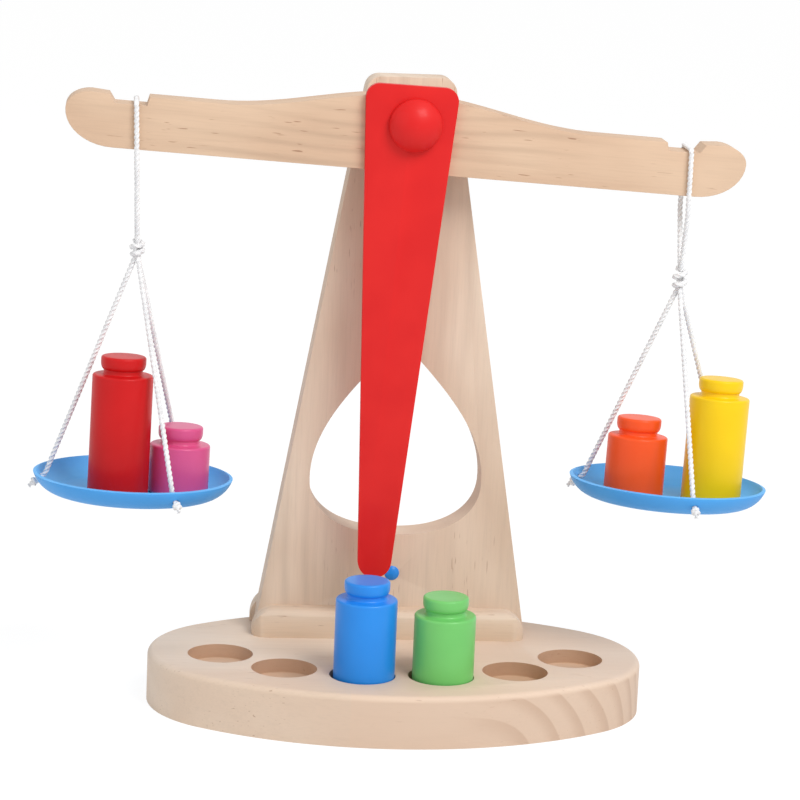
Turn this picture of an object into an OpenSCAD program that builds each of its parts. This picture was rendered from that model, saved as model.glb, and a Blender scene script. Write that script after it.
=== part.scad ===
// Wooden balance scale: an oval base with six sockets, a standing column with an egg-shaped
// window, a pivoting beam with a long pointer, two dishes hung on cords, and six turned weights.
// Millimetres, +Z up, front towards -Y. The origin is the middle of the base's underside.
// The beam is drawn tilted, its right end low, and the dishes hang as that tilt leaves them.

/* [Base] */
// Length of the oval base
base_w = 238; // [216:1:256]
// Depth of the oval base
base_d = 148; // [142:1:168]
// Thickness of the base board
base_t = 25; // [20:0.5:32]
// Radius of the oval's two ends
base_end_r = 54; // [48:1:60]
// Rounding of the base's top edge
base_round = 3; // [1:0.5:5]
// Diameter of a socket for a weight
socket_d = 31.2; // [30:0.1:33]
// Depth of a socket
socket_depth = 7; // [4:0.5:12]

/* [Column] */
// Width of the column where it stands on the base
column_foot_w = 133.6; // [124:0.2:140]
// Width of the column at its top
column_top_w = 41; // [36:0.5:50]
// Height of the column above the base
column_h = 274; // [264:1:290]
// Thickness of the column board
column_t = 18; // [14:0.5:20]
// Distance from the column's back to the base's rear edge
rear_margin = 23.5; // [22:0.5:27]
// Rounding of the column's two top corners
column_round = 7; // [3:0.5:10]
// Width of the egg-shaped window
window_w = 84.2; // [60:0.2:88]
// Height of the window above its widest place
window_up = 69; // [50:1:80]
// Height of the window below its widest place
window_down = 28; // [20:0.5:36]
// Height of the window's widest place above the base
window_z = 78; // [66:1:90]
// Rounding of the window's pointed top
window_tip_r = 5; // [2:0.5:8]

/* [Cleats] */
// How far the two cleats reach past the column's foot, on each side
cleat_past = 0.2; // [-4:0.2:6]
// How far the cleats' middle lies to the left of the column's
cleat_off = 1.2; // [0:0.1:1.5]
// Height of a cleat
cleat_h = 13.5; // [11:0.5:18]
// Depth of a cleat, front to back
cleat_d = 12; // [9:0.5:12.5]
// Rounding of a cleat's upper ends
cleat_end_r = 11; // [4:0.5:11.5]
// Rounding of a cleat's outer corners, seen from above
cleat_corner_r = 7; // [3:0.5:8]
// Rounding of a cleat's outer top edge
cleat_top_r = 5; // [2:0.5:8]

/* [Screws] */
// Diameter of the two screws up into the column
column_screw_d = 4; // [3:0.1:5]
// Length of the screws up into the column
column_screw_l = 48; // [40:1:60]
// Distance from the middle to a screw of the column
column_screw_x = 42; // [30:1:50]
// Diameter of the four screws up into the cleats
cleat_screw_d = 3; // [2.5:0.1:3.5]
// Length of the screws up into the cleats
cleat_screw_l = 32; // [28:1:35]
// Distance from the middle to a screw of a cleat
cleat_screw_x = 54; // [52:1:56]

/* [Pivot] */
// Height of the pivot below the column's top
pivot_down = 20; // [16:0.5:24]
// Diameter of the steel axle
axle_d = 6; // [4:0.5:8]
// Diameter of the washers on the axle
washer_d = 20; // [14:0.5:24]
// Thickness of the washer between column and beam
washer_t = 2; // [1:0.1:4]
// Thickness of the washer behind the column
rear_washer_t = 1.2; // [0.8:0.1:2]
// Diameter of the domed knob in front of the pointer
knob_d = 25; // [18:0.5:30]
// Height of the knob
knob_h = 9.5; // [8:0.5:14]
// Diameter of the cap that ends the axle behind the column
cap_d = 14; // [12:0.5:18]
// Height of that cap
cap_h = 7; // [6:0.5:9]

/* [Beam] */
// Length of the beam
beam_l = 323; // [312:1:340]
// Thickness of the beam
beam_t = 18; // [14:0.5:22]
// Distance from the beam's middle to the middle of a notch
notch_l = 131.2; // [130:0.2:133]
// Distance from the pivot to the left hanger's cord
left_arm = 130.6; // [129:0.2:132]
// Distance from the pivot to the right hanger's cord
right_arm = 132.4; // [131:0.2:133]
// How far the beam's middle lies to the left of the pivot
beam_off = 1.8; // [0:0.2:2]
// Height of the beam's straight top edge above the pivot
beam_top = 1.8; // [1:0.2:4]
// Depth of the beam's straight bottom edge below the pivot
beam_bottom = 23; // [19:0.1:26]
// Height of the swell over the pivot, above the straight edge
swell_h = 11.5; // [8:0.5:14]
// Distance from the beam's middle to where the swell runs out
swell_l = 90; // [70:1:95]
// Depth of a notch below the straight top edge
notch_depth = 4; // [3:0.1:5.5]
// Width of a notch's flat floor
notch_w = 15; // [13:0.2:16]
// Tilt of the beam as it is drawn, right end low, in degrees
beam_tilt = 3.1; // [0:0.1:6]

/* [Pointer] */
// Length of the pointer below the pivot
pointer_l = 220; // [190:1:224]
// Height of the pointer above the pivot
pointer_up = 18.4; // [17:0.1:22]
// Width of the pointer at its top
pointer_top_w = 43.8; // [36:0.2:48]
// Width of the pointer at its round tip
pointer_tip_w = 16.2; // [12:0.2:24]
// How far the pointer's middle line passes to the left of the pivot
pointer_off = 2.3; // [0:0.1:3]
// Angle between the pointer and a square to the beam, in degrees
pointer_lean = 0.8; // [0:0.1:2]
// Thickness of the pointer
pointer_t = 4; // [3:0.5:6]
// Rounding of the pointer's top corners
pointer_round = 6.5; // [3:0.5:8]
// Diameter of the index dot on the column
dot_d = 7.4; // [5:0.2:10]
// Height of the index dot above the base
dot_z = 30.5; // [22:0.5:36]

/* [Dishes and cords] */
// Diameter of a dish at its rim
dish_d = 96; // [90:1:104]
// Depth of a dish
dish_depth = 9.5; // [8:0.5:12]
// Diameter of a dish's flat floor
dish_floor_d = 70; // [66:1:72]
// Wall thickness of a dish
dish_wall = 1.6; // [1.2:0.1:2.2]
// Diameter of the cord
cord_d = 2.6; // [2:0.1:3]
// Drop from the left notch to its gather knot
left_drop = 71; // [60:1:76]
// Drop from the right notch to its gather knot
right_drop = 64; // [56:1:70]
// Drop from the left gather knot to its dish's rim
left_hang = 110; // [102:0.5:114]
// Drop from the right gather knot to its dish's rim
right_hang = 100.5; // [94:0.5:106]
// Diameter of a gather knot
knot_d = 8; // [7.6:0.1:10]
// Diameter of the stopper knot that ends a string
stopper_d = 4.6; // [3.6:0.2:6]

/* [Weights] */
// Diameter of a weight
weight_d = 29; // [26:0.5:30]
// Height of the red weight
red_h = 67; // [58:0.5:74]
// Height of the pink weight
pink_h = 32.5; // [26:0.5:38]
// Height of the orange weight
orange_h = 39; // [34:0.5:46]
// Height of the yellow weight
yellow_h = 61; // [52:0.5:68]
// Height of the blue weight
blue_h = 53; // [44:0.5:62]
// Height of the green weight
green_h = 46; // [38:0.5:54]
// Diameter of a weight's disc-shaped head
head_d = 21.5; // [19:0.5:24]
// Thickness of a weight's head
head_t = 5.6; // [4:0.2:7]
// Diameter of a weight's neck
neck_d = 18; // [14:0.5:18.5]
// Height of a weight's neck
neck_h = 3.2; // [2.4:0.2:5]

/* [Hidden] */
$fn = 64;

// Clearances: a running fit, a glued fit, a loose fit, and the gap under what only rests
run_gap = 0.05;
glue_gap = 0.03;
loose_gap = 0.25;
rest_gap = 0.05;
cord_gap = 0.3;
// How far every cut runs past what it cuts
overrun = 1;

// Sockets, as shares of the base's half length and half depth
socket_shares = [[0.709, -0.096], [0.461, -0.403], [0.156, -0.53]];
// Steps on a quarter turn of a drawn curve, and of a small edge
steps = 10;
edge_steps = 4;

// Base outline: two end arcs and two side arcs that meet on a common tangent
half_w = base_w / 2;
half_d = base_d / 2;
end_x = half_w - base_end_r;
side_r = (end_x * end_x + half_d * half_d - base_end_r * base_end_r) / (2 * (half_d - base_end_r));
side_y = side_r - half_d;
meet_angle = atan2(side_y, end_x);

// Levels and planes
column_rear = half_d - rear_margin;
column_front = column_rear - column_t;
column_back = column_rear - column_t / 2;
column_top = base_t + column_h;
pivot_z = column_top - pivot_down;
column_lean = (column_foot_w - column_top_w) / 2 / column_h;
cleat_w = column_foot_w + 2 * cleat_past;
beam_rear = column_front - washer_t - 2 * run_gap;
beam_front = beam_rear - beam_t;
beam_mid = beam_rear - beam_t / 2;
pointer_front = beam_front - pointer_t;

// Screws: shares of a screw's diameter for its head, point and cross recess
head_share = 2;
head_rim_share = 0.15;
point_share = 1;
recess_share = 0.25;
recess_depth_share = 0.6;
// How far a screw's head lies above the base's underside, and how tight its thread is
screw_sink = 1.2;
thread_bite = 0.1;

// Pivot details
knob_rim_share = 0.3;
knob_bore_share = 0.65;
cap_bore_share = 0.7;
pin_d = 4;
pin_in_pointer = 2.4;
pin_in_beam = 8;
pin_x_share = 0.3;
pin_down = 12;
dot_rise = 1.6;
dot_shank_share = 0.5;
dot_shank_l = 8;

// Beam outline: where the notch's walls and the rounded ends lie
notch_slope = 1;
ramp_l = 2.8;
tip_rise = 0.6;
tip_below_pivot = 6;
tip_upper_l = 12;
tip_lower_l = 23;
notch_floor = beam_top - notch_depth;
seat_z = notch_floor + cord_gap + cord_d / 2;

// The window's lower half is squarer than an ellipse by this power
window_power = 0.87;

// Dishes: the side is an arc that leaves the floor on a tangent, and a hole goes through it
dish_r = dish_d / 2;
floor_r = dish_floor_d / 2;
dish_side_r = ((dish_r - floor_r) * (dish_r - floor_r) + dish_depth * dish_depth) / (2 * dish_depth);
rim_angle = acos((dish_side_r - dish_depth) / dish_side_r);
hole_angle = 50;
hole_bend = 2.6;

// Cords: sides of a tube, spacing of its rings and how the strings start and end
cord_r = cord_d / 2;
cord_sides = 8;
ring_share = 2.4;
ring_step = ring_share * cord_d;
bend_share = 1.3;
bend_steps = 4;
pinch_share = 1.2;
strand_gap_share = 0.58;
stopper_gap = 0.3;
stopper_angles = [20:35:160];
tail_share = 0.4;
tail_reach_share = 2.6;

// Each hanger: [side, drop, hang, inboard lean of the loop, knot lobes' spread,
// dish's offset from the knot, tilt right, tilt back, direction of the outer string, arm]
left_lean = 2;
right_lean = 0;
left_lobes = 1.2;
right_lobes = 2.6;
left_shift_x = 0.7;
left_shift_y = 3.4;
right_shift_x = 0.5;
right_shift_y = 3;
left_tilt = 1.4;
right_tilt = 2.5;
left_back = 2.1;
right_back = 3.2;
left_outer = 176;
right_outer = 157;
left = [
    -1, left_drop, left_hang, left_lean, left_lobes, [left_shift_x, left_shift_y], left_tilt, left_back,
    left_outer, left_arm
];
right = [
    1, right_drop, right_hang, right_lean, right_lobes, [right_shift_x, right_shift_y], right_tilt,
    right_back, right_outer, right_arm
];
OUTER = 0;
FRONT = 120;
REAR = 240;

// Weights: places in a dish, as shares of the dish's radius, and edges
red_shares = [-0.15, -0.24];
pink_shares = [0.455, 0.02];
orange_shares = [-0.36, -0.08];
yellow_shares = [0.427, -0.15];
// How far the blue and green weights stand off their sockets' middles
blue_play = 0.7;
green_play = 0.8;
weight_edge = 1;
head_edge_share = 0.42;
neck_fillet_share = 0.5;
head_dome = 0.6;
head_edge_angle = 80;

function arc(x, y, rx, ry, from, to, n = steps) =
    [for (i = [0:n]) let (a = from + (to - from) * i / n) [x + rx * cos(a), y + ry * sin(a)]];
function mirrored(points) = [for (i = [len(points) - 1:-1:0]) [-points[i][0], points[i][1]]];
function both_sides(points) = concat(points, mirrored(points));
function unit(v) = v / norm(v);

// Where a point of the beam lies, from its place along the beam and above the pivot
function beam_point(x, z) = [
    x * cos(beam_tilt) + z * sin(beam_tilt), beam_mid, pivot_z - x * sin(beam_tilt) + z * cos(beam_tilt)
];
function seat_at(h) = beam_point(h[0] * h[9], seat_z);
function knot_at(h) = seat_at(h) + [-h[0] * h[3], 0, -h[1]];
function dish_at(h) = knot_at(h) + [h[5][0], h[5][1], -h[2]];
// A point given in a dish's own frame: its rim's middle, tilted to the right and to the back
function dish_point(h, p) =
    let (
        y = p[1] * cos(h[7]) + p[2] * sin(h[7]),
        z = p[2] * cos(h[7]) - p[1] * sin(h[7])
    )
    dish_at(h) + [p[0] * cos(h[6]) + z * sin(h[6]), y, z * cos(h[6]) - p[0] * sin(h[6])];
// A point on the line through a string's hole, at a distance from the side arc's centre
function hole_point(h, turn, reach) =
    let (a = h[8] + turn, r = floor_r + reach * sin(hole_angle))
    dish_point(h, [r * cos(a), r * sin(a), dish_side_r - dish_depth - reach * cos(hole_angle)]);

// A tube swept along a path that lies in one plane, with one radius for each point
function tube_ring(path, radii, side, i) =
    let (
        ahead = path[min(i + 1, len(path) - 1)] - path[max(i - 1, 0)],
        up = cross(unit(ahead), side)
    )
    [for (k = [0:cord_sides - 1])
        let (a = 360 * k / cord_sides) path[i] + radii[i] * (cos(a) * side + sin(a) * up)];
function tube_points(path, radii, side) = [for (i = [0:len(path) - 1]) each tube_ring(path, radii, side, i)];
function tube_faces(n) = concat(
    [for (k = [1:cord_sides - 2]) [0, k, k + 1]],
    [for (i = [0:n - 2]) for (k = [0:cord_sides - 1])
        each let (a = i * cord_sides + k, b = i * cord_sides + (k + 1) % cord_sides)
            [[a, b + cord_sides, b], [a, a + cord_sides, b + cord_sides]]],
    [for (k = [1:cord_sides - 2]) let (o = (n - 1) * cord_sides) [o, o + k + 1, o + k]]
);
module tube(path, radii, side) {
    polyhedron(points = tube_points(path, radii, side), faces = tube_faces(len(path)));
}
function between(a, b, step) =
    let (n = max(1, floor(norm(b - a) / step))) [for (i = [0:n - 1]) a + (b - a) * i / n];
function turn_points(a, b, c) = [for (i = [0:bend_steps])
    let (t = i / bend_steps) (1 - t) * (1 - t) * a + 2 * t * (1 - t) * b + t * t * c];

// A board standing across the base, and a round bar or bore from front to back
module board(front, thick) {
    translate([0, front + thick, 0]) rotate([90, 0, 0]) linear_extrude(thick) children();
}
module bar(x, z, from, to, d) {
    translate([x, to, z]) rotate([90, 0, 0]) cylinder(h = to - from, d = d);
}
module on_beam() {
    translate([0, 0, pivot_z]) rotate([0, beam_tilt, 0]) children();
}
module on_dish(h) {
    translate(dish_at(h)) rotate([0, h[6], 0]) rotate([-h[7], 0, 0]) children();
}
module both_ways() {
    children();
    mirror([1, 0, 0]) children();
}
// A dome on a flat foot, rising along +Z
module dome(d, rise) {
    r = (d * d / 4 + rise * rise) / (2 * rise);
    intersection() {
        translate([0, 0, rise - r]) sphere(r);
        cylinder(h = rise, d = d);
    }
}

// Cross-section of the base from an arc's centre outwards
module rim_section(r) {
    square([r - base_round, base_t]);
    square([r, base_t - base_round]);
    translate([r - base_round, base_t - base_round]) circle(base_round);
}
module oval_block() {
    both_ways() translate([end_x, 0, 0])
        rotate_extrude(start = -meet_angle, angle = 2 * meet_angle) rim_section(base_end_r);
    for (turn = [0, 180]) rotate([0, 0, turn]) both_ways() intersection() {
        translate([0, -side_y, 0])
            rotate_extrude(start = meet_angle, angle = 90 - meet_angle) rim_section(side_r);
        translate([-half_w, 0, -overrun]) cube([base_w, half_d + overrun, base_t + 2 * overrun]);
    }
    core_y = base_end_r - base_round;
    translate([-end_x, -core_y, 0]) cube([2 * end_x, 2 * core_y, base_t]);
}
module at_sockets() {
    for (s = socket_shares) for (side = [-1, 1])
        translate([side * s[0] * half_w, s[1] * half_d, base_t - socket_depth]) children();
}

// A countersunk wood screw that points up, its head's face at the origin
module screw(d, l) {
    rim = head_rim_share * d;
    cone = (head_share - 1) * d / 2;
    point = point_share * d;
    difference() {
        union() {
            cylinder(h = rim, d = head_share * d);
            translate([0, 0, rim]) cylinder(h = cone, d1 = head_share * d, d2 = d);
            translate([0, 0, rim]) cylinder(h = l - rim - point, d = d);
            translate([0, 0, l - point]) cylinder(h = point, d1 = d, d2 = recess_share * d);
        }
        for (turn = [0, 90]) rotate([0, 0, turn])
            translate([-d / 2, -recess_share * d / 2, -overrun])
                cube([d, recess_share * d, overrun + recess_depth_share * d]);
    }
}
// The clearance hole and countersink that a screw takes in the base
module screw_hole(d) {
    rim = head_rim_share * d;
    wide = head_share * d + 2 * loose_gap;
    translate([0, 0, -overrun]) cylinder(h = overrun + screw_sink + rim, d = wide);
    translate([0, 0, screw_sink + rim]) cylinder(h = wide / 2, d1 = wide, d2 = 0);
    translate([0, 0, -overrun]) cylinder(h = base_t + 2 * overrun, d = d + 2 * loose_gap);
}
// The pilot hole that a screw's thread bites into, as deep as the screw reaches
module pilot_hole(d, l) {
    translate([0, 0, base_t - overrun])
        cylinder(h = screw_sink + l - base_t + 2 * overrun, d = d - thread_bite);
}
module at_column_screws() {
    for (side = [-1, 1]) translate([side * column_screw_x, column_back, 0]) children();
}
module at_cleat_screws() {
    for (y = [column_front - cleat_d / 2, column_rear + cleat_d / 2]) for (side = [-1, 1])
        translate([side * cleat_screw_x, y, 0]) children();
}

module base() {
    color("burlywood") difference() {
        oval_block();
        at_sockets() cylinder(h = socket_depth + overrun, d = socket_d);
        at_column_screws() screw_hole(column_screw_d);
        at_cleat_screws() screw_hole(cleat_screw_d);
    }
}

function column_outline() =
    let (
        slant = sqrt(1 + column_lean * column_lean),
        x = column_top_w / 2 + column_round * (column_lean - slant)
    )
    both_sides(concat(
        [[column_foot_w / 2, base_t]],
        arc(x, column_top - column_round, column_round, column_round, atan(column_lean), 90)
    ));
// The window: a cosine curve that meets a small arc at the top, and a squarish lower half
function window_outline() =
    let (
        slope = PI / 2 * window_w / 2 / window_up,
        half_angle = atan(slope),
        tip_z = window_up - window_tip_r / sin(half_angle),
        last = 1 - window_tip_r * cos(half_angle) * cos(half_angle) / sin(half_angle) / window_up,
        side = [for (i = [0:2 * steps])
            let (t = last * i / (2 * steps)) [window_w / 2 * cos(90 * t), window_up * t]],
        top = arc(0, tip_z, window_tip_r, window_tip_r, half_angle, 90, edge_steps),
        under = [for (i = [1:2 * steps])
            let (a = 90 * i / (2 * steps))
            [window_w / 2 * pow(cos(a), window_power), -window_down * pow(sin(a), window_power)]],
        right_side = concat([for (i = [len(under) - 1:-1:0]) under[i]], side, top)
    )
    [for (p = both_sides(right_side)) [p[0], base_t + window_z + p[1]]];
module column() {
    color("tan") difference() {
        board(column_front, column_t) polygon(column_outline());
        board(column_front - overrun, column_t + 2 * overrun) polygon(window_outline());
        bar(0, pivot_z, column_front - overrun, column_rear + overrun, axle_d + 2 * run_gap);
        bar(0, base_t + dot_z, column_front - overrun, column_front + dot_shank_l,
            dot_shank_share * dot_d + 2 * glue_gap);
        at_column_screws() pilot_hole(column_screw_d, column_screw_l);
    }
}

// A cleat with its straight back at y = 0 and its rounded side towards -Y
module cleat() {
    end_x = cleat_w / 2 - cleat_end_r;
    corner_x = cleat_w / 2 - cleat_corner_r;
    intersection() {
        translate([0, 0, base_t]) board(-cleat_d, cleat_d)
            polygon(both_sides(concat([[cleat_w / 2, 0]],
                arc(end_x, cleat_h - cleat_end_r, cleat_end_r, cleat_end_r, 0, 90))));
        translate([0, 0, base_t]) linear_extrude(cleat_h)
            polygon(both_sides(concat([[cleat_w / 2, 0]],
                arc(corner_x, cleat_corner_r - cleat_d, cleat_corner_r, cleat_corner_r, 0, -90))));
        translate([-cleat_w / 2, 0, base_t]) rotate([90, 0, 90]) linear_extrude(cleat_w)
            polygon(concat([[0, 0], [0, cleat_h]],
                arc(cleat_top_r - cleat_d, cleat_h - cleat_top_r, cleat_top_r, cleat_top_r, 90, 180),
                [[-cleat_d, 0]]));
    }
}
module front_cleat() {
    color("burlywood") difference() {
        translate([-cleat_off, column_front, 0]) cleat();
        at_cleat_screws() pilot_hole(cleat_screw_d, cleat_screw_l);
    }
}
module rear_cleat() {
    color("burlywood") difference() {
        translate([-cleat_off, column_rear, 0]) rotate([0, 0, 180]) cleat();
        at_cleat_screws() pilot_hole(cleat_screw_d, cleat_screw_l);
    }
}
module column_screws() {
    color("silver") at_column_screws() translate([0, 0, screw_sink]) screw(column_screw_d, column_screw_l);
}
module cleat_screws() {
    color("silver") at_cleat_screws() translate([0, 0, screw_sink]) screw(cleat_screw_d, cleat_screw_l);
}
module index_dot() {
    color("dodgerblue") {
        translate([0, column_front, base_t + dot_z]) rotate([90, 0, 0]) dome(dot_d, dot_rise);
        bar(0, base_t + dot_z, column_front, column_front + dot_shank_l - glue_gap, dot_shank_share * dot_d);
    }
}

// Upper right quarter and lower right quarter of the beam's outline, from the middle outwards
function beam_outline() =
    let (
        inner = notch_l - notch_w / 2,
        outer = notch_l + notch_w / 2,
        tip = beam_l / 2
    )
    both_sides(concat(
        [[0, -beam_bottom]],
        arc(tip - tip_lower_l, -tip_below_pivot, tip_lower_l, beam_bottom - tip_below_pivot, -90, 0),
        arc(tip - tip_upper_l, -tip_below_pivot, tip_upper_l, beam_top + tip_rise + tip_below_pivot, 0, 90),
        [[outer + ramp_l, beam_top], [outer, notch_floor]],
        [[inner, notch_floor], [inner - notch_slope, beam_top]],
        [for (i = [2 * steps:-1:0])
            let (x = swell_l * i / (2 * steps), c = cos(90 * x / swell_l)) [x, beam_top + swell_h * c * c]]
    ));
module at_pins() {
    for (side = [-1, 1]) translate([side * pin_x_share * pointer_top_w, 0, -pin_down]) children();
}
module beam() {
    color("burlywood") on_beam() difference() {
        translate([-beam_off, 0, 0]) board(beam_front, beam_t) polygon(beam_outline());
        bar(0, 0, beam_front - overrun, beam_rear + overrun, axle_d + 2 * glue_gap);
        at_pins() bar(0, 0, beam_front - overrun, beam_front + pin_in_beam, pin_d + 2 * glue_gap);
    }
}

function pointer_outline() =
    let (
        tip_r = pointer_tip_w / 2,
        taper = atan((pointer_top_w - pointer_tip_w) / 2 / (pointer_l + pointer_up - tip_r)),
        x = pointer_top_w / 2 - pointer_round / cos(taper)
    )
    both_sides(concat(
        arc(0, tip_r - pointer_l, tip_r, tip_r, -90, -taper),
        arc(x, pointer_up - pointer_round, pointer_round, pointer_round, -taper, 90)
    ));
module pointer() {
    color("red") on_beam() difference() {
        translate([-pointer_off, 0, 0]) rotate([0, -pointer_lean, 0])
            board(pointer_front, pointer_t) polygon(pointer_outline());
        bar(0, 0, pointer_front - overrun, beam_front + overrun, axle_d + 2 * glue_gap);
        at_pins() bar(0, 0, beam_front - pin_in_pointer, beam_front + overrun, pin_d + 2 * glue_gap);
    }
}
module pointer_pins() {
    color("wheat") on_beam() at_pins()
        bar(0, 0, beam_front - pin_in_pointer + glue_gap, beam_front + pin_in_beam - glue_gap, pin_d);
}

knob_bore = knob_bore_share * knob_h;
cap_bore = cap_bore_share * cap_h;
cap_front = column_rear + rear_washer_t + 3 * run_gap;
module axle() {
    color("silver")
        bar(0, pivot_z, pointer_front - knob_bore + glue_gap, cap_front + cap_bore - glue_gap, axle_d);
}
module washer(front, thick) {
    difference() {
        bar(0, pivot_z, front, front + thick, washer_d);
        bar(0, pivot_z, front - overrun, front + thick + overrun, axle_d + 2 * glue_gap);
    }
}
module front_washer() {
    color("wheat") washer(beam_rear + run_gap, washer_t);
}
module rear_washer() {
    color("silver") washer(column_rear + run_gap, rear_washer_t);
}
// A domed cap with a blind bore, its foot at y = foot and its dome towards -Y
module domed_cap(d, h, bore) {
    rim = knob_rim_share * h;
    difference() {
        union() {
            cylinder(h = rim, d = d);
            translate([0, 0, rim]) dome(d, h - rim);
        }
        translate([0, 0, -overrun]) cylinder(h = bore + overrun, d = axle_d + 2 * glue_gap);
    }
}
module knob() {
    color("red") translate([0, pointer_front, pivot_z]) rotate([90, 0, 0])
        domed_cap(knob_d, knob_h, knob_bore);
}
module axle_cap() {
    color("burlywood") translate([0, cap_front, pivot_z]) rotate([-90, 0, 0])
        domed_cap(cap_d, cap_h, cap_bore);
}

// A loop of cord: from the knot up the beam's front, over the notch and down the beam's back
module loop(h) {
    out = beam_t / 2 + cord_gap + cord_r;
    bend = bend_share * cord_r;
    low = pinch_share * (seat_z + beam_bottom);
    end = h[1] - h[4] - knot_d / 2 - cord_gap;
    lean = h[0] * h[3] / h[1];
    gap = strand_gap_share * cord_d;
    half = concat(
        between([-gap, end], [-out, low], ring_step),
        between([-out, low], [-out, bend], ring_step),
        arc(bend - out, bend, bend, bend, 180, 270, bend_steps)
    );
    other = [for (i = [len(half) - 1:-1:0]) [-half[i][0], half[i][1]]];
    path = [for (p = concat(half, other)) seat_at(h) + [-lean * p[1], p[0], -p[1]]];
    tube(path, [for (p = path) cord_r], unit(cross([0, 1, 0], [-lean, 0, -1])));
}
module gather_knot(h) {
    translate(knot_at(h)) {
        translate([0, 0, h[4]]) sphere(d = knot_d);
        translate([0, 0, -h[4]]) sphere(d = knot_d);
    }
}
// One string: from under the knot to the dish, out through its hole and into a stopper knot
module string(h, turn) {
    inner = dish_side_r - dish_wall;
    under = knot_at(h) - [0, 0, h[4]];
    corner = hole_point(h, turn, inner - hole_bend);
    down = unit(corner - under);
    start = under + down * (knot_d / 2 + cord_gap);
    outside = dish_side_r + stopper_gap;
    stop_r = stopper_d / 2;
    run = concat(
        between(start, corner - down * hole_bend, ring_step),
        turn_points(corner - down * hole_bend, corner, hole_point(h, turn, inner - hole_bend / 3)),
        [hole_point(h, turn, outside - cord_r / 3)]
    );
    knot = [for (a = stopper_angles) [outside + stop_r * (1 - cos(a)), stop_r * sin(a)]];
    tail = [for (reach = [2, tail_reach_share]) [outside + reach * stop_r, tail_share * cord_d]];
    ends = concat(knot, tail);
    path = concat(run, [for (e = ends) hole_point(h, turn, e[0])]);
    radii = concat([for (p = run) cord_r], [for (e = ends) max(e[1], tail_share * cord_d)]);
    tube(path, radii, unit(cross(down, path[len(path) - 1] - corner)));
}

function dish_section() = concat(
    [[0, -dish_depth]],
    arc(floor_r, dish_side_r - dish_depth, dish_side_r, dish_side_r, -90, rim_angle - 90),
    arc(floor_r, dish_side_r - dish_depth, dish_side_r - dish_wall, dish_side_r - dish_wall,
        rim_angle - 90, -90),
    [[0, dish_wall - dish_depth]]
);
module dish(h) {
    color("dodgerblue") difference() {
        on_dish(h) rotate_extrude() polygon(dish_section());
        for (turn = [OUTER, FRONT, REAR]) {
            from = hole_point(h, turn, dish_side_r - dish_wall - overrun);
            axis = unit(hole_point(h, turn, dish_side_r) - from);
            translate(from) rotate([0, acos(axis[2]), atan2(axis[1], axis[0])])
                cylinder(h = dish_wall + 2 * overrun, d = cord_d + 2 * loose_gap);
        }
    }
}

// A turned weight that stands on the origin: body, neck and disc-shaped head
function weight_section(h) =
    let (
        r = weight_d / 2,
        shoulder = h - head_t - neck_h,
        under = h - head_t,
        edge = head_edge_share * head_t,
        fillet = neck_fillet_share * neck_h,
        brim = head_d / 2 - edge
    )
    concat(
        [[0, 0]],
        arc(r - weight_edge, weight_edge, weight_edge, weight_edge, -90, 0, edge_steps),
        arc(r - weight_edge, shoulder - weight_edge, weight_edge, weight_edge, 0, 90, edge_steps),
        arc(neck_d / 2 + fillet, shoulder + fillet, fillet, fillet, 270, 180, edge_steps),
        arc(brim, under + edge, edge, edge, -90, 0, edge_steps),
        arc(brim, h - head_dome - edge, edge, edge, 0, head_edge_angle, edge_steps),
        [[brim / 2, h - head_dome / 4], [0, h]]
    );
module weight(h) {
    rotate_extrude() polygon(weight_section(h));
}
module in_dish(side, shares) {
    on_dish(side) translate([shares[0] * dish_r, shares[1] * dish_r, dish_wall - dish_depth + rest_gap])
        children();
}
module in_socket(side, play) {
    s = socket_shares[2];
    translate([side * s[0] * half_w + play, s[1] * half_d, base_t - socket_depth + rest_gap]) children();
}

module left_loop() { color("white") loop(left); }
module left_knot() { color("white") gather_knot(left); }
module left_string_outer() { color("white") string(left, OUTER); }
module left_string_front() { color("white") string(left, FRONT); }
module left_string_rear() { color("white") string(left, REAR); }
module left_dish() { dish(left); }
module right_loop() { color("white") loop(right); }
module right_knot() { color("white") gather_knot(right); }
module right_string_outer() { color("white") string(right, OUTER); }
module right_string_front() { color("white") string(right, FRONT); }
module right_string_rear() { color("white") string(right, REAR); }
module right_dish() { dish(right); }
module red_weight() { color("firebrick") in_dish(left, red_shares) weight(red_h); }
module pink_weight() { color("palevioletred") in_dish(left, pink_shares) weight(pink_h); }
module orange_weight() { color("orangered") in_dish(right, orange_shares) weight(orange_h); }
module yellow_weight() { color("gold") in_dish(right, yellow_shares) weight(yellow_h); }
module blue_weight() { color("royalblue") in_socket(-1, blue_play) weight(blue_h); }
module green_weight() { color("limegreen") in_socket(1, green_play) weight(green_h); }

base();
column();
front_cleat();
rear_cleat();
column_screws();
cleat_screws();
index_dot();
beam();
pointer();
pointer_pins();
axle();
front_washer();
rear_washer();
knob();
axle_cap();
left_loop();
left_knot();
left_string_outer();
left_string_front();
left_string_rear();
left_dish();
right_loop();
right_knot();
right_string_outer();
right_string_front();
right_string_rear();
right_dish();
red_weight();
pink_weight();
orange_weight();
yellow_weight();
blue_weight();
green_weight();
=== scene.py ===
from math import cos, pi, radians, sin, sqrt
import bmesh
import bpy
from mathutils import Matrix, Vector


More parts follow.
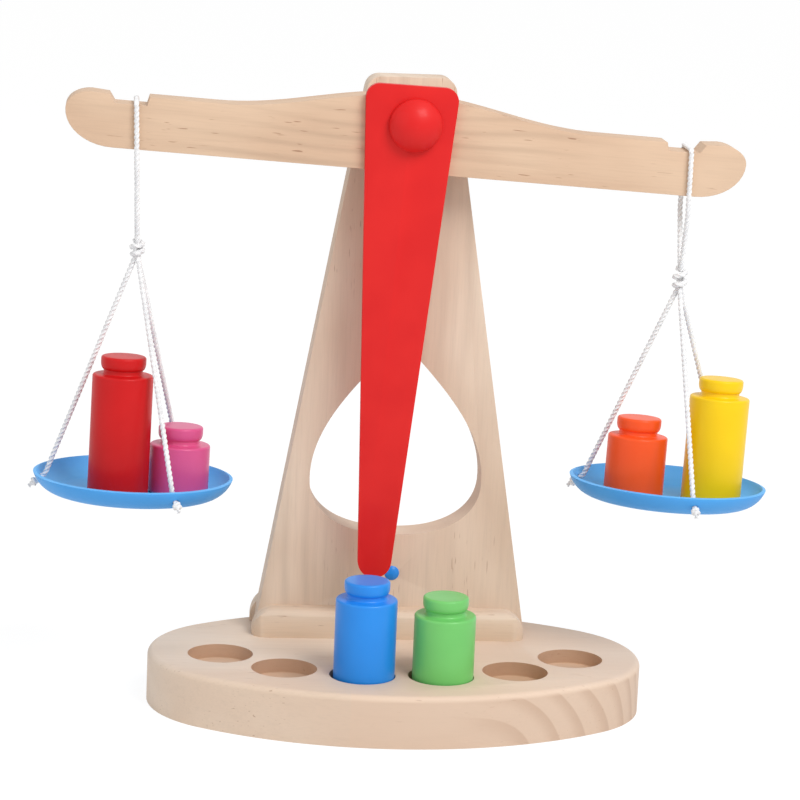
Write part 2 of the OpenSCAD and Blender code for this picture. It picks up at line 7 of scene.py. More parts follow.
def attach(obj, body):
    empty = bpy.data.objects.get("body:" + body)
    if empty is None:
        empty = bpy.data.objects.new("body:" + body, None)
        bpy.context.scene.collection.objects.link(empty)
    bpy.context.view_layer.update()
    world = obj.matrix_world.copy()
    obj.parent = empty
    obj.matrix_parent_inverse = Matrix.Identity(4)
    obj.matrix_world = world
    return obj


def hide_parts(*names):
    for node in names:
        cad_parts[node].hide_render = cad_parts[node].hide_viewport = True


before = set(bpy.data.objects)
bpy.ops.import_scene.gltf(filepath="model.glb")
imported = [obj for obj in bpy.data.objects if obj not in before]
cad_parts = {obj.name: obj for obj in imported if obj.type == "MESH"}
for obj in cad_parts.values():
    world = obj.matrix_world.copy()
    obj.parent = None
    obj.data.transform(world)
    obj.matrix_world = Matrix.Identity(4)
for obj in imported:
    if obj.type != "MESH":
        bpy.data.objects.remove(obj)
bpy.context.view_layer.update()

MM = 0.001


# The camera stands where the photograph was taken from: a little left of the balance, about
# 1.4 m away and looking down on it, held slightly askew.
def add_object(name, data):
    """A new object at the origin of the scene."""
    made = bpy.data.objects.new(name, data)
    bpy.context.scene.collection.objects.link(made)
    return made


yaw, pitch, roll = radians(5.393), radians(11.672), radians(2.432)
camera_place = (-0.1358, -1.41083, 0.44186)
film_width, focal_length = 36, 137.2
nearest, farthest = 0.05, 100
ahead = Vector((sin(yaw) * cos(pitch), cos(yaw) * cos(pitch), -sin(pitch)))
level = Vector((cos(yaw), -sin(yaw), 0))
sideways = cos(roll) * level + sin(roll) * level.cross(ahead)
facing = Matrix((sideways, sideways.cross(ahead), -ahead)).transposed().to_4x4()
lens = bpy.data.cameras.new("camera")
lens.sensor_width, lens.lens = film_width, focal_length
lens.clip_start, lens.clip_end = nearest, farthest
camera = add_object("camera", lens)
camera.matrix_world = Matrix.Translation(camera_place) @ facing
bpy.context.scene.camera = camera


# The two hangers: white cotton cord, laid from three strands. A doubled loop hangs in the beam's
# notch, a gather knot joins it to three strings, and each string ends in a knot under the dish's rim.
def put(value, socket):
    """Gives a socket its value: a link from a Wire, or else a constant."""
    if isinstance(value, Wire):
        value.tree.links.new(value.socket, socket)
    else:
        socket.default_value = value


class Wire:
    """A shader value: Python's operators on it add Math nodes."""

    def __init__(self, tree, socket=None):
        self.tree, self.socket = tree, socket

    def node(self, kind, values=None, out=0, **settings):
        """Adds a node: first its settings, then a value or a link for its sockets."""
        made = self.tree.nodes.new("ShaderNode" + kind)
        for name, setting in settings.items():
            setattr(made, name, setting)
        for socket, value in (values or {}).items():
            put(value, made.inputs[socket])
        return Wire(self.tree, made.outputs[out])

    def maths(self, operation, *values):
        return self.node("Math", dict(enumerate(values)), operation=operation)

    def __add__(self, other):
        return self.maths("ADD", self, other)

    def __radd__(self, other):
        return self.maths("ADD", other, self)

    def __sub__(self, other):
        return self.maths("SUBTRACT", self, other)

    def __rsub__(self, other):
        return self.maths("SUBTRACT", other, self)

    def __mul__(self, other):
        return self.maths("MULTIPLY", self, other)

    def __rmul__(self, other):
        return self.maths("MULTIPLY", other, self)

    def __truediv__(self, other):
        return self.maths("DIVIDE", self, other)

    def __rtruediv__(self, other):
        return self.maths("DIVIDE", other, self)

    def __pow__(self, other):
        return self.maths("POWER", self, other)

    def __rpow__(self, other):
        return self.maths("POWER", other, self)

    def sine(self):
        return self.maths("SINE", self)

    def fraction(self):
        """What stands behind the decimal point."""
        return self.maths("FRACT", self)

    def between(self, low, high):
        """0 below low, 1 above high, smooth in between."""
        values = {"Value": self, "From Min": low, "From Max": high}
        return self.node("MapRange", values, interpolation_type="SMOOTHSTEP")

    def mix(self, one, other):
        """A colour that goes from one to other as this value goes from 0 to 1."""
        factor, colour_a, colour_b, colour_out = 0, 6, 7, 2
        values = {factor: self, colour_a: one, colour_b: other}
        return self.node("Mix", values, out=colour_out, data_type="RGBA")

    def noise(self, size, detail=2.0, stretch=(1, 1, 1), offset=(0, 0, 0)):
        """Noise on coordinates in millimetres, its grains about size long, stretched along each axis."""
        scale = [1 / (size * s) for s in stretch]
        place = self.node("Mapping", {"Vector": self, "Location": offset, "Scale": scale})
        return self.node("TexNoise", {"Vector": place, "Scale": 1.0, "Detail": detail})


def new_material(name):
    """A material, its surface shader's node, and object coordinates in millimetres."""
    material = bpy.data.materials.new(name)
    material.use_nodes = True
    tree = material.node_tree
    metres = Wire(tree).node("TexCoord", out="Object")
    mm = metres.node("VectorMath", {"Vector": metres, "Scale": 1 / MM}, operation="SCALE")
    return material, tree.nodes["Principled BSDF"], mm


def finish_shader(shader, height, depth, **values):
    """Gives the shader its values by socket name, and a bump: height 0 to 1 stands for depth mm."""
    bump = height.node("Bump", {"Height": height, "Distance": depth * MM, "Strength": 1.0})
    put(bump, shader.inputs["Normal"])
    for name, value in values.items():
        put(value, shader.inputs[name.replace("_", " ").title().replace("Ior", "IOR")])


def rgb(red, green, blue):
    """A linear colour from its 0 to 255 screen values."""
    return [((c / 255 + 0.055) / 1.055) ** 2.4 for c in (red, green, blue)] + [1]


# Millimetres: the cord, the beam's pivot, middle plane, half thickness, bottom and notch, and a
# dish's rim, flat floor, depth and wall. The dish's side is an arc that its string holes go through
CORD_R, CORD_GAP = 1.3, 0.3
PIVOT_Z, BEAM_Y, BEAM_HALF, BEAM_BOTTOM, NOTCH_FLOOR = 279, 21.4, 9, 23, -2.2
TILT = radians(3.1)
SEAT_Z = NOTCH_FLOOR + CORD_GAP + CORD_R
DISH_R, FLOOR_R, DISH_DEPTH, DISH_WALL = 48, 35, 9.5, 1.6
SIDE_R = ((DISH_R - FLOOR_R) ** 2 + DISH_DEPTH ** 2) / (2 * DISH_DEPTH)
HOLE_ANGLE = radians(50)
STRINGS = {"outer": 0, "front": 120, "rear": 240}
ACROSS, UP = Vector((1, 0, 0)), Vector((0, 0, 1))


class Hanger:
    """One side's loop, knot and dish.

    The cord sits on the beam at arm from the pivot, leans inboard and drops to the knot, whose two
    lobes spread from its middle. The dish's rim hangs below the knot by hang, off by shift, and
    tilts to the right and to the back. outer is the outer string's direction. Each coil of the knot
    is its rise over the knot's middle, its radius, length, turns and starting angle.
    """

    def __init__(self, side, sign, arm, lean, drop, lobes, hang, shift, tilt, back, outer, coils):
        self.side, self.drop, self.lobes, self.outer, self.coils = side, drop, lobes, outer, coils
        self.lean = sign * lean / drop
        self.seat = Vector((
            sign * arm * cos(TILT) + SEAT_Z * sin(TILT), BEAM_Y,
            PIVOT_Z - sign * arm * sin(TILT) + SEAT_Z * cos(TILT)))
        self.knot = self.seat + Vector((-sign * lean, 0, -drop))
        self.dish = self.knot + Vector((*shift, -hang))
        self.turn = Matrix.Rotation(radians(tilt), 3, "Y") @ Matrix.Rotation(radians(-back), 3, "X")

    def hole(self, turn, reach):
        """A point on the line through a string's hole, at a distance from the side's centre."""
        a, r = radians(self.outer + turn), FLOOR_R + reach * sin(HOLE_ANGLE)
        height = SIDE_R - DISH_DEPTH - reach * cos(HOLE_ANGLE)
        return self.dish + self.turn @ Vector((r * cos(a), r * sin(a), height))


left_hanger = Hanger(
    "left", sign=-1, arm=130.6, lean=2, drop=71, lobes=1.2, hang=110, shift=(0.7, 3.4), tilt=1.4,
    back=2.1, outer=176, coils=[(1.2, 2.6, 6.8, 2.2, 2.4), (-1.8, 2.2, 3.0, 1.2, 0.2)])
right_hanger = Hanger(
    "right", sign=1, arm=132.4, lean=0, drop=64, lobes=2.6, hang=100.5, shift=(0.5, 3), tilt=2.5,
    back=3.2, outer=157, coils=[(1.2, 2.6, 9.6, 2.2, 2.4), (-2.2, 2.5, 4.0, 1.3, 0.4)])
hangers = [left_hanger, right_hanger]

# One cross-section of the cord: three round strands side by side. Strands and grooves are shares
# of the cord's radius
STRAND_R, GROOVE_R, SECTION_STEPS = 0.464, 0.72, 24
strand_off = 1 - STRAND_R
section = bpy.data.curves.new("cord_section", "CURVE")
ring = section.splines.new("POLY")
ring.points.add(SECTION_STEPS - 1)
ring.use_cyclic_u = True
for i, point in enumerate(ring.points):
    around = 2 * pi * i / SECTION_STEPS
    off_strand = (around + pi / 3) % (2 * pi / 3) - pi / 3
    rest = STRAND_R ** 2 - (strand_off * sin(off_strand)) ** 2
    r = max(strand_off * cos(off_strand) + sqrt(max(rest, 0)), GROOVE_R) * CORD_R * MM
    point.co = (r * cos(around), r * sin(around), 0, 1)
section_object = bpy.data.objects.new("cord_section", section)

cotton, shader, mm = new_material("white_cotton_cord")
fibre = mm.noise(0.35, detail=3)
grey_cloud = mm.noise(6)
whiteness = (fibre * 0.5 + grey_cloud * 0.5).between(0.3, 0.7)
finish_shader(
    shader, height=fibre, depth=0.10, base_color=whiteness.mix(rgb(228, 228, 230), rgb(250, 250, 250)),
    roughness=0.92, sheen_weight=0.25)


def evenly(points, step):
    """Points along a polyline, a step apart, and its end unless that is very near the last one."""
    out, left = [points[0]], step
    for a, b in zip(points, points[1:]):
        length = (b - a).length
        while left <= length:
            out.append(a.lerp(b, left / length))
            left += step
        left -= length
    if (out[-1] - points[-1]).length > step / 4:
        out.append(points[-1])
    return out


def smooth_path(points, times):
    """Cuts the corners off a few given points: a smooth route with the same ends."""
    for _ in range(times):
        cut = [points[0]]
        for a, b in zip(points, points[1:]):
            cut += [a.lerp(b, 0.25), a.lerp(b, 0.75)]
        points = cut + [points[-1]]
    return points


def cord_piece(name, body, points, scale=1.0, pitch=7.5, step=0.5):
    """Twisted cord along points in millimetres, riding on a body.

    scale thins it, pitch is the length of one full twist and step the distance of its rings.
    """
    route = evenly(points, step)
    curve = bpy.data.curves.new(name, "CURVE")
    curve.dimensions = "3D"
    curve.twist_mode = "MINIMUM"
    curve.bevel_mode, curve.bevel_object = "OBJECT", section_object
    curve.use_fill_caps = True
    spline = curve.splines.new("POLY")
    spline.points.add(len(route) - 1)
    walked = 0
    for point, at, before in zip(spline.points, route, route[:1] + route):
        walked += (at - before).length
        point.co = (*(at * MM), 1)
        point.tilt = 2 * pi * walked / pitch
        point.radius = scale
    drawn = add_object(name + "_line", curve)
    depsgraph = bpy.context.evaluated_depsgraph_get()
    mesh = bpy.data.meshes.new_from_object(drawn.evaluated_get(depsgraph))
    bpy.data.objects.remove(drawn)
    bpy.data.curves.remove(curve)
    mesh.name = name
    mesh.shade_smooth()
    mesh.materials.append(cotton)
    piece = add_object(name, mesh)
    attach(piece, body)
    return piece


# A coil has so many points in a turn. Its ends keep a share of its radius, and each takes a share
# of its length to tuck in
TURN_STEPS, TUCKED_R, TUCK_SHARE = 16, 0.25, 1 / 5


def coil_route(middle, axis, across, radius, length, turns, start):
    """A coil round an axis, the turns of a knot pulled tight, whose two ends tuck inwards."""
    side = axis.cross(across).normalized()
    steps = turns * TURN_STEPS
    out = []
    for i in range(int(steps) + 1):
        done = i / steps
        a = start + 2 * pi * turns * done
        open_share = min(1, done / TUCK_SHARE, (1 - done) / TUCK_SHARE)
        r = radius * (TUCKED_R + (1 - TUCKED_R) * open_share)
        out.append(middle + axis * (length * (done - 0.5)) + r * (cos(a) * across + sin(a) * side))
    return out


def hang_loop(hanger):
    """The loop: out of the knot, up the beam's front, over its notch and down the back again."""
    bend_share, pinch_share, into_knot = 1.3, 1.2, 2
    out_y, bend = BEAM_HALF + CORD_GAP + CORD_R, bend_share * CORD_R
    pinch, end = pinch_share * (SEAT_Z + BEAM_BOTTOM), hanger.drop - hanger.lobes - into_knot
    quarter = [pi * i / 12 for i in range(7)]
    over = [(-out_y + bend - bend * cos(a), bend - bend * sin(a)) for a in quarter]
    front = [(-0.9, end), (-1.6, end - 2), (-out_y, pinch + 4), (-out_y, pinch)] + over
    whole = front + [(-y, down) for y, down in reversed(front)]
    points = [hanger.seat + Vector((-hanger.lean * down, y, -down)) for y, down in whole]
    loop = cord_piece(hanger.side + "_cord_loop", hanger.side + "_hanger_loop", points)
    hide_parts(hanger.side + "_loop")


def tie_gather_knot(hanger):
    """The gather knot: two coils of cord, one on top of the other."""
    for i, (rise, radius, length, turns, start) in enumerate(hanger.coils):
        route = coil_route(hanger.knot + UP * rise, UP, ACROSS, radius, length, turns, start)
        knot = cord_piece(f"{hanger.side}_gather_knot_{i + 1}", hanger.side + "_hanger_knot", route)
        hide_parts(hanger.side + "_knot")


def tie_string(hanger, name, angle):
    """One string: from under the knot through its hole in the dish, into a knot that frays."""
    side, body = hanger.side, hanger.side + "_hanging_dish"
    under, inner = hanger.knot - UP * hanger.lobes, SIDE_R - DISH_WALL
    below_knot, bend, bend_end, past_wall, stopper_out = 1.5, 2.6, 0.9, 1.2, 2.5
    corner = hanger.hole(angle, inner - bend)
    way = (corner - under).normalized()
    bent = smooth_path([corner - way * bend, corner, hanger.hole(angle, inner - bend_end)], 3)
    route = [under + way * below_knot] + bent + [hanger.hole(angle, SIDE_R + past_wall)]
    string = cord_piece(f"{side}_string_{name}_cord", body, route)

    # The string's own angle sets where its knot starts and how its strands spread
    stop = hanger.hole(angle, SIDE_R + stopper_out)
    out = (hanger.hole(angle, SIDE_R + 2) - hanger.hole(angle, SIDE_R + 1)).normalized()
    flat = out.cross(UP).normalized()
    turns = coil_route(stop, out, flat, radius=1.25, length=2.6, turns=1.7, start=0.8 * angle)
    cord_piece(f"{side}_stopper_{name}", body, turns, scale=0.85)
    for strand in range(3):
        around = 2.1 * strand + angle
        spread = flat * cos(around) + out.cross(flat) * sin(around)
        tail = [stop + out * 0.6, stop + out * 2.2 + spread * 0.3]
        tail.append(stop + out * 3.3 + spread * 0.8 - UP * 0.4)
        fray = smooth_path(tail, 2)
        cord_piece(f"{side}_fray_{name}_{strand + 1}", body, fray, scale=0.38, pitch=3.0, step=0.3)
    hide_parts(f"{side}_string_{name}")


for hanger in hangers:
    hang_loop(hanger)
    tie_gather_knot(hanger)
    for name, angle in STRINGS.items():
        tie_string(hanger, name, angle)
bpy.data.objects.remove(section_object)


# The base: an oval of solid light hardwood glued up from two lengths, its sockets milled from
# above. Sanded, sealed with clear matte lacquer, its top edge rounded over.
def off_line(y, z, line):
    """The distance from a line along x that runs through line in y and z."""
    return ((y - line[0]) ** 2 + (z - line[1]) ** 2) ** 0.5


def wood(name, grain, seed, pale, deep, rings, ring_gap, pith, pores, marks=None):
    """Calm light hardwood whose grain runs along the unit vector grain.

    pale and deep are the two tones it drifts between. rings and pores say how far the growth rings
    and the pores show, ring_gap how far apart the rings are and pith where the tree's middle lay.
    marks(x, y, z, colour) may change the colour by place.
    """
    material, shader, mm = new_material(name)
    to_x = Vector(grain).rotation_difference(Vector((1, 0, 0))).to_euler()
    mm = mm.node("Mapping", {"Vector": mm, "Rotation": to_x})
    x, y, z = (mm.node("SeparateXYZ", {"Vector": mm}, out=axis) for axis in "XYZ")
    shift = (seed * 13.7, seed * 5.1, seed * 7.9)

    # The rings wander in and out along the board, and show in some places only
    ring_wander, ring_sharpness = 34, 2.5
    wander = mm.noise(120, stretch=(2, 1, 1), offset=shift) - 0.5
    away = off_line(y, z, pith) + wander * ring_wander
    wave = (away * (2 * pi / ring_gap)).sine() * 0.5 + 0.5
    patch = mm.noise(50, detail=1, stretch=(3, 1, 1), offset=(seed, 2, 8)).between(0.40, 0.70)
    late = wave ** ring_sharpness * patch

    # Fine fibres, broader streaks and short dark pores lie along the grain, the pores in groups
    fibre = mm.noise(0.8, detail=3, stretch=(22, 1, 1), offset=shift)
    streak = mm.noise(3.2, stretch=(26, 1, 1), offset=shift).between(0.50, 0.80)
    pore = mm.noise(0.9, detail=1, stretch=(11, 1, 1), offset=shift).between(0.69, 0.76)
    pore = pore * mm.noise(22, detail=1, stretch=(2.5, 1, 1), offset=(3, seed, 1)).between(0.46, 0.60)

    fibre_share, streak_share = 0.09, 0.10
    darker = rgb(*(0.80 * c for c in deep))
    cloud = mm.noise(46, stretch=(2.2, 1, 1), offset=shift).between(0.30, 0.70)
    colour = cloud.mix(rgb(*pale), rgb(*deep))
    colour = (late * rings).mix(colour, darker)
    colour = (fibre.between(0.42, 0.72) * fibre_share + streak * streak_share).mix(colour, darker)
    colour = (pore * pores).mix(colour, rgb(158, 118, 92))
    if marks:
        colour = marks(x, y, z, colour)
    finish_shader(
        shader, height=fibre * 0.5 - pore * 0.8 - streak * 0.2, depth=0.04, base_color=colour,
        roughness=0.52 + 0.10 * fibre + 0.05 * cloud, specular_ior_level=0.3)
    return material


def stand_in(name, mesh, material, sharp, body, node):
    """A finished piece in a CAD node's place, shaded smooth but for edges of over sharp degrees."""
    mesh.shade_smooth()
    mesh.set_sharp_from_angle(angle=radians(sharp))
    mesh.materials.append(material)
    piece = add_object(name, mesh)
    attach(piece, body)
    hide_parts(node)
    return piece


# Points nearer than this many millimetres are one. Edges under the flat angle in degrees go, those
# over the keen angle are broken, and those over the sharp angle show as an edge
SAME_POINT, FLAT_ANGLE, KEEN_ANGLE, SHARP_ANGLE = 0.002, 0.4, 32, 28


def dressed(node, body, material, edge=0, steps=2):
    """A merged copy of a CAD node that stands for it, its keen edges broken by edge millimetres."""
    mesh = bpy.data.meshes.new(node + "_finished")
    bm = bmesh.new()
    bm.from_mesh(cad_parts[node].data)
    bmesh.ops.remove_doubles(bm, verts=bm.verts, dist=SAME_POINT * MM)
    if edge:
        bmesh.ops.dissolve_limit(bm, angle_limit=radians(FLAT_ANGLE), verts=bm.verts, edges=bm.edges)
        keen = [e for e in bm.edges if e.is_manifold and e.calc_face_angle() > radians(KEEN_ANGLE)]
        bmesh.ops.bevel(
            bm, geom=keen, offset=edge * MM, offset_type="OFFSET", segments=steps, profile=0.5,
            affect="EDGES", material=-1, clamp_overlap=True)
    bm.to_mesh(mesh)
    bm.free()
    return stand_in(node + "_finished", mesh, material, SHARP_ANGLE, body, node)


ALONG_X = (1, 0, 0)
HALF_W, HALF_D, TOP_Z, TOP_EDGE, SOCKET_R, SOCKET_DEPTH = 119, 74, 25, 0.6, 15.6, 7
SOCKET_SHARES = ((0.709, -0.096), (0.461, -0.403), (0.156, -0.53))
SOCKETS = [(side * u * HALF_W, v * HALF_D) for side in (-1, 1) for u, v in SOCKET_SHARES]
SEAM_X, END_PITH, END_RING_GAP = -26, (-110, -10), 7.8


def base_marks(x, y, z, colour):
    """The glued joint's tone change, painted shade on the front, and the growth rings of the sawn right
    end.
    """
    seam_tone, front_painted_shade, ring_tone = 0.4, 0.45, 0.30
    wave_pace, wave_size = 0.09, 1.2
    right_part = x.between(SEAM_X - 0.2, SEAM_X + 0.2)
    colour = (right_part * seam_tone).mix(colour, rgb(228, 198, 174))
    drift = (x * wave_pace).sine() * wave_size
    ring = ((off_line(y, z, END_PITH) + drift) / END_RING_GAP).fraction()
    ring = ring.between(0.35, 0.93) * (1 - ring.between(0.94, 1.0))
    front = (1 - z.between(TOP_Z - 3.5, TOP_Z - 1)) * (1 - y.between(-30, 0))
    # Painted shade: the front face is darkened over its left and middle
    colour = (front * x.between(-80, -10) * front_painted_shade).mix(colour, rgb(206, 178, 156))
    return (ring * front * x.between(15, 60) * ring_tone).mix(colour, rgb(168, 128, 100))


def socket_wall_grain_and_shade(x, y, z, colour):
    """The sawn wall of a socket is darker than its milled floor: partly its end grain, partly painted
    shade.
    """
    floor_z, wall_grain_and_shade_tone = TOP_Z - SOCKET_DEPTH, 0.5
    return (z.between(floor_z + 0.05, floor_z + 0.6) * wall_grain_and_shade_tone).mix(colour, rgb(166, 124, 96))


base_wood = wood(
    "base_wood", ALONG_X, seed=1, pale=(230, 210, 190), deep=(222, 198, 176), rings=0.10, ring_gap=11,
    pith=(30, -46), pores=0.55, marks=base_marks)
# The sockets' wood is the base's wood painted darker and browner: painted shade in the deep recesses
socket_painted_shade_wood = wood(
    "socket_painted_shade_wood", ALONG_X, seed=7, pale=(216, 184, 156), deep=(204, 168, 138), rings=0.15, ring_gap=9,
    pith=(30, -46), pores=0.6, marks=socket_wall_grain_and_shade)
base = dressed("base", "stand", base_wood, edge=TOP_EDGE, steps=3)
base.data.materials.append(socket_painted_shade_wood)
# Faces down in the sockets take the darker wood, the painted shade of the recesses
for polygon in base.data.polygons:
    middle = polygon.center / MM
    sunk = TOP_Z - SOCKET_DEPTH - 0.1 < middle.z < TOP_Z - TOP_EDGE - 0.02
    near = min((middle.x - x) ** 2 + (middle.y - y) ** 2 for x, y in SOCKETS) < (SOCKET_R + 0.05) ** 2
    polygon.material_index = 1 if sunk and near else 0

# The column: one board on end, sawn to a taper, with the egg-shaped window cut through. The
# same light wood, its grain upright, edges eased with sandpaper.
column_wood = wood(
    "column_wood", (0, 0, 1), seed=2, pale=(232, 211, 190), deep=(216, 190, 167), rings=0.30,
    ring_gap=12, pith=(18, 150), pores=0.5)
dressed("column", "stand", column_wood, edge=0.7)

# Two cleats of the same wood screwed to the base on both sides of the column's foot, their
# ends and outer top edges rounded over.
for node, seed, rings, pith, pores in (
    ("front_cleat", 3, 0.35, (-30, 60), 0.6),
    ("rear_cleat", 4, 0.30, (40, -20), 0.5),
):
    cleat_wood = wood(
        node + "_wood", ALONG_X, seed, pale=(230, 209, 188), deep=(220, 195, 170), rings=rings,
        ring_gap=6, pith=pith, pores=pores)
    dressed(node, "stand", cleat_wood, edge=0.4)

# The beam: a board with a swell over the pivot and a notch near each end for the loops. Light
# wood with scattered brown pores, the grain along it.
beam_wood = wood(
    "beam_wood", (cos(TILT), 0, -sin(TILT)), seed=5, pale=(220, 190, 162), deep=(208, 174, 146),
    rings=0.30, ring_gap=7, pith=(60, -35), pores=0.8)
dressed("beam", "balance_beam", beam_wood, edge=0.35)


# The pointer: a thin board cut to a long taper, pinned and glued to the beam's face. Painted all
# over with smooth enamel that has a faint orange peel and slow clouds of thicker and thinner paint.
def paint(name, colour, deeper, rough=0.34, shine=0.3, coat=0.15):
    material, shader, mm = new_material(name)
    cloud = mm.noise(26)
    peel = mm.noise(1.6)
    finish_shader(
        shader, height=peel, depth=0.012,
        base_color=cloud.between(0.3, 0.7).mix(rgb(*colour), rgb(*deeper)),
        roughness=rough + 0.06 * cloud + 0.04 * peel,
        specular_ior_level=shine, coat_weight=coat, coat_roughness=0.15)
    return material


red = paint("red_gloss", (222, 34, 32), (216, 29, 29), rough=0.42, shine=0.2, coat=0.08)
dressed("pointer", "balance_beam", red, edge=0.8, steps=3)

# The knob: a turned dome glued over the axle's front end, painted red like the pointer that it
# holds on.
dressed("knob", "balance_beam", red, edge=0.5, steps=3)

# The small turned pieces of bare wood: the cap that ends the axle behind the column, the spacer
# between beam and column, and the two dowels that pin the pointer.
cap_wood = wood(
    "cap_wood", (0, 1, 0), seed=6, pale=(232, 206, 178), deep=(220, 190, 160), rings=0.25, ring_gap=9,
    pith=(20, -60), pores=0.5)
dressed("axle_cap", "balance_beam", cap_wood, edge=0.3)
dressed("front_washer", "balance_beam", cap_wood, edge=0.2)
dressed("pointer_pins", "balance_beam", cap_wood, edge=0.2)

# The index dot: a small domed button painted blue, its shank glued into the column where the
# pointer's tip swings past.
blue = paint("blue_gloss", (34, 140, 232), (30, 134, 227))
dressed("index_dot", "stand", blue, edge=0.15)

# The steel parts: a plain turned axle, one thin washer and six countersunk wood screws, all
# zinc plated and faintly brushed.
steel, shader, mm = new_material("zinc_plated_steel")
brush = mm.noise(0.5, stretch=(1, 12, 1))
finish_shader(
    shader, height=brush, depth=0.02, base_color=brush.mix(rgb(176, 178, 182), rgb(206, 208, 210)),
    metallic=1.0, roughness=0.30 + 0.15 * brush)
dressed("axle", "balance_beam", steel, edge=0.2)
dressed("rear_washer", "balance_beam", steel, edge=0.15)
dressed("column_screws", "stand", steel)
dressed("cleat_screws", "stand", steel)


# The dishes: shallow and round with a flat floor, stamped thin and coated in satin blue, with
# three drilled holes under the rim for the strings.
def satin(name, colour, deeper):
    material, shader, mm = new_material(name)
    cloud = mm.noise(30)
    fine = mm.noise(0.7)
    finish_shader(
        shader, height=fine, depth=0.01,
        base_color=cloud.between(0.3, 0.7).mix(rgb(*colour), rgb(*deeper)),
        roughness=0.44 + 0.08 * cloud + 0.05 * fine)
    return material


# Faces that look up get a paler blue: painted light on the dish's floor and inner slope
FACES_UP = 0.3
outside = satin("blue_satin_outside", (72, 166, 238), (66, 159, 233))
painted_light_blue = satin("blue_satin_painted_light", (98, 186, 252), (92, 180, 248))
for hanger in hangers:
    dish = dressed(hanger.side + "_dish", hanger.side + "_hanging_dish", outside, edge=0.45)
    dish.data.materials.append(painted_light_blue)
    upward = hanger.turn @ UP
    # Painted light: the upward faces take the paler blue
    for polygon in dish.data.polygons:
        polygon.material_index = 1 if polygon.normal.dot(upward) > FACES_UP else 0

# The six weights: turned from dowel with a waisted neck and a disc-shaped head, then dipped in
# bright gloss paint. All have the same girth. Four stand in the dishes and two in the base's sockets.
# Three radii, how far the shoulder lies under the top, and the rounding of each edge from the foot
# up. The head's side starts so far under the top, and its underside swells out over so much below
WEIGHT_R, NECK_R, HEAD_R, SHOULDER_DOWN = 14.5, 9.3, 10.75, 8.8
FOOT_EDGE, SHOULDER_EDGE, FILLET, HEAD_EDGE = 1.3, 1.1, 1.2, 1.2
HEAD_SIDE_DOWN, HEAD_SWELL = 3, 3.4
REST_GAP, SPIN_STEPS, WEIGHT_SHARP_ANGLE = 0.05, 96, 40


def weight_outline(height):
    """The turned outline of a weight, from the middle of its foot to the middle of its head."""
    quarter = [(sin(pi / 12 * i), cos(pi / 12 * i)) for i in range(7)]
    foot, shoulder, neck = WEIGHT_R - FOOT_EDGE, height - SHOULDER_DOWN, NECK_R + FILLET
    girth, slope = WEIGHT_R - SHOULDER_EDGE, shoulder - SHOULDER_EDGE
    brim, under = HEAD_R - HEAD_EDGE, height - HEAD_SIDE_DOWN
    points = [(0, 0), (foot - 0.3, 0)]
    points += [(foot + FOOT_EDGE * s, FOOT_EDGE - FOOT_EDGE * c) for s, c in quarter]
    points += [(girth + SHOULDER_EDGE * c, slope + SHOULDER_EDGE * s) for s, c in quarter]
    points += [(neck - FILLET * s, shoulder + FILLET - FILLET * c) for s, c in quarter]
    points += [(NECK_R + (HEAD_R - NECK_R) * s, under - HEAD_SWELL * c) for s, c in quarter]
    points += [(brim + HEAD_EDGE * c, height - HEAD_EDGE + HEAD_EDGE * s) for s, c in quarter]
    return points + [(5, height - 0.12), (0, height)]


def in_dish(hanger, across, back):
    """The place of a weight's foot on a dish, off its middle by shares of the rim's radius."""
    spot = Vector((across * DISH_R, back * DISH_R, DISH_WALL - DISH_DEPTH + REST_GAP))
    return Matrix.Translation((hanger.dish + hanger.turn @ spot) * MM) @ hanger.turn.to_4x4()


def in_socket(socket, play):
    """The place of a weight's foot in a socket, off its middle by play."""
    spot = Vector((socket[0] + play, socket[1], TOP_Z - SOCKET_DEPTH + REST_GAP))
    return Matrix.Translation(spot * MM)


left_inner, right_inner = SOCKETS[2], SOCKETS[5]
dark_red = paint("weight_red_gloss", (206, 20, 22), (200, 17, 19), rough=0.38, shine=0.2, coat=0.1)
pink = paint("pink_gloss", (222, 88, 142), (217, 82, 137))
orange = paint("orange_gloss", (248, 88, 32), (244, 83, 30), rough=0.36, shine=0.25, coat=0.1)
yellow = paint("yellow_gloss", (247, 205, 8), (244, 200, 6), rough=0.36, shine=0.25, coat=0.1)
green = paint("green_gloss", (116, 200, 108), (111, 195, 104))
for node, material, slot, height, place in (
    ("red_weight", dark_red, "red_paint", 67, in_dish(left_hanger, -0.15, -0.24)),
    ("pink_weight", pink, "pink_paint", 32.5, in_dish(left_hanger, 0.455, 0.02)),
    ("orange_weight", orange, "orange_paint", 39, in_dish(right_hanger, -0.36, -0.08)),
    ("yellow_weight", yellow, "yellow_paint", 61, in_dish(right_hanger, 0.427, -0.15)),
    ("blue_weight", blue, "blue_paint", 53, in_socket(left_inner, 0.7)),
    ("green_weight", green, "green_paint", 46, in_socket(right_inner, 0.8)),
):
    bm = bmesh.new()
    line = [bm.verts.new((r * MM, 0, z * MM)) for r, z in weight_outline(height)]
    edges = [bm.edges.new(pair) for pair in zip(line, line[1:])]
    bmesh.ops.spin(
        bm, geom=line + edges, axis=(0, 0, 1), cent=(0, 0, 0), angle=2 * pi, steps=SPIN_STEPS,
        use_merge=True)
    bmesh.ops.remove_doubles(bm, verts=bm.verts, dist=SAME_POINT / 2 * MM)
    bmesh.ops.recalc_face_normals(bm, faces=bm.faces)
    bmesh.ops.transform(bm, matrix=place, verts=bm.verts)
    mesh = bpy.data.meshes.new(node + "_turned")
    bm.to_mesh(mesh)
    bm.free()
    stand_in(node + "_turned", mesh, material, WEIGHT_SHARP_ANGLE, node + "_body", node)


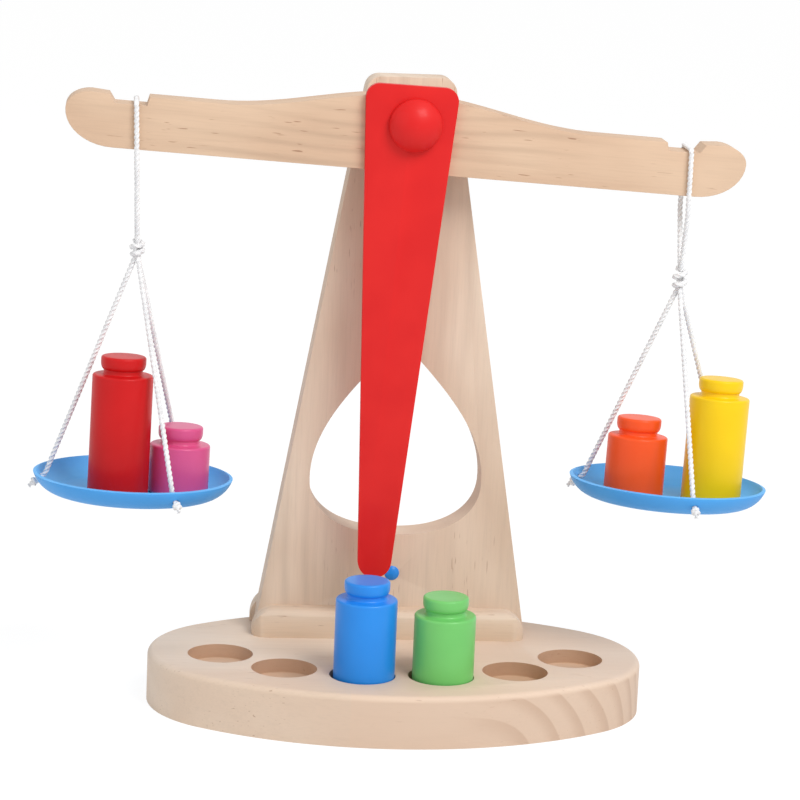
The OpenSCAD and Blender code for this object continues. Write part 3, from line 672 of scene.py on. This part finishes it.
# The studio: a wide white floor that only keeps a faint shadow, a large soft lamp high on the
# right, a weaker one on the left, and an even white surround.
def in_view(wire):
    """1 where the camera looks straight, by a glossy reflection or through something clear."""
    straight, glossy, clear = (
        wire.node("LightPath", out=f"Is {kind} Ray") for kind in ("Camera", "Glossy", "Transmission"))
    return straight + glossy + clear


# The floor reaches so many metres, and glows for most of what the camera sees of it
FLOOR_REACH, FLOOR_TONE, FLOOR_ROUGH, FLOOR_GLOW, GLOW_SHARE = 30, 0.86, 0.9, 1.14, 0.76
WHITE = (1, 1, 1, 1)
bm = bmesh.new()
bmesh.ops.create_grid(bm, x_segments=1, y_segments=1, size=FLOOR_REACH)
floor_mesh = bpy.data.meshes.new("floor")
bm.to_mesh(floor_mesh)
bm.free()
floor = add_object("floor", floor_mesh)
floor_paint, shader, mm = new_material("floor_white")
put((FLOOR_TONE, FLOOR_TONE, FLOOR_TONE, 1), shader.inputs["Base Color"])
put(FLOOR_ROUGH, shader.inputs["Roughness"])
put(0.0, shader.inputs["Specular IOR Level"])
glow = mm.node("Emission", {"Color": WHITE, "Strength": FLOOR_GLOW})
ground = Wire(mm.tree, shader.outputs["BSDF"])
lit = ground.node("MixShader", {0: in_view(mm) * GLOW_SHARE, 1: ground, 2: glow})
put(lit, mm.tree.nodes["Material Output"].inputs["Surface"])
floor_mesh.materials.append(floor_paint)

SKY_SEEN, SKY_LIGHT = 1.0, 0.6
world = bpy.data.worlds.new("studio")
bpy.context.scene.world = world
world.use_nodes = True
sky = world.node_tree.nodes["Background"]
strength = in_view(Wire(world.node_tree)).between(0.0, 1.0) * (SKY_SEEN - SKY_LIGHT) + SKY_LIGHT
put(WHITE, sky.inputs["Color"])
put(strength, sky.inputs["Strength"])

lamps_aim = Vector((0, 0, 0.14))
for name, place, power, size in (
    ("key_lamp", (0.75, -1.1, 1.6), 23, 0.9),
    ("fill_lamp", (-1.4, -1.0, 0.9), 4, 1.6),
):
    light = bpy.data.lights.new(name, "AREA")
    light.energy, light.size = power, size
    lamp = add_object(name, light)
    lamp.location = place
    lamp.rotation_euler = (lamps_aim - lamp.location).to_track_quat("-Z", "Y").to_euler()

bpy.context.scene.view_settings.view_transform = "Standard"
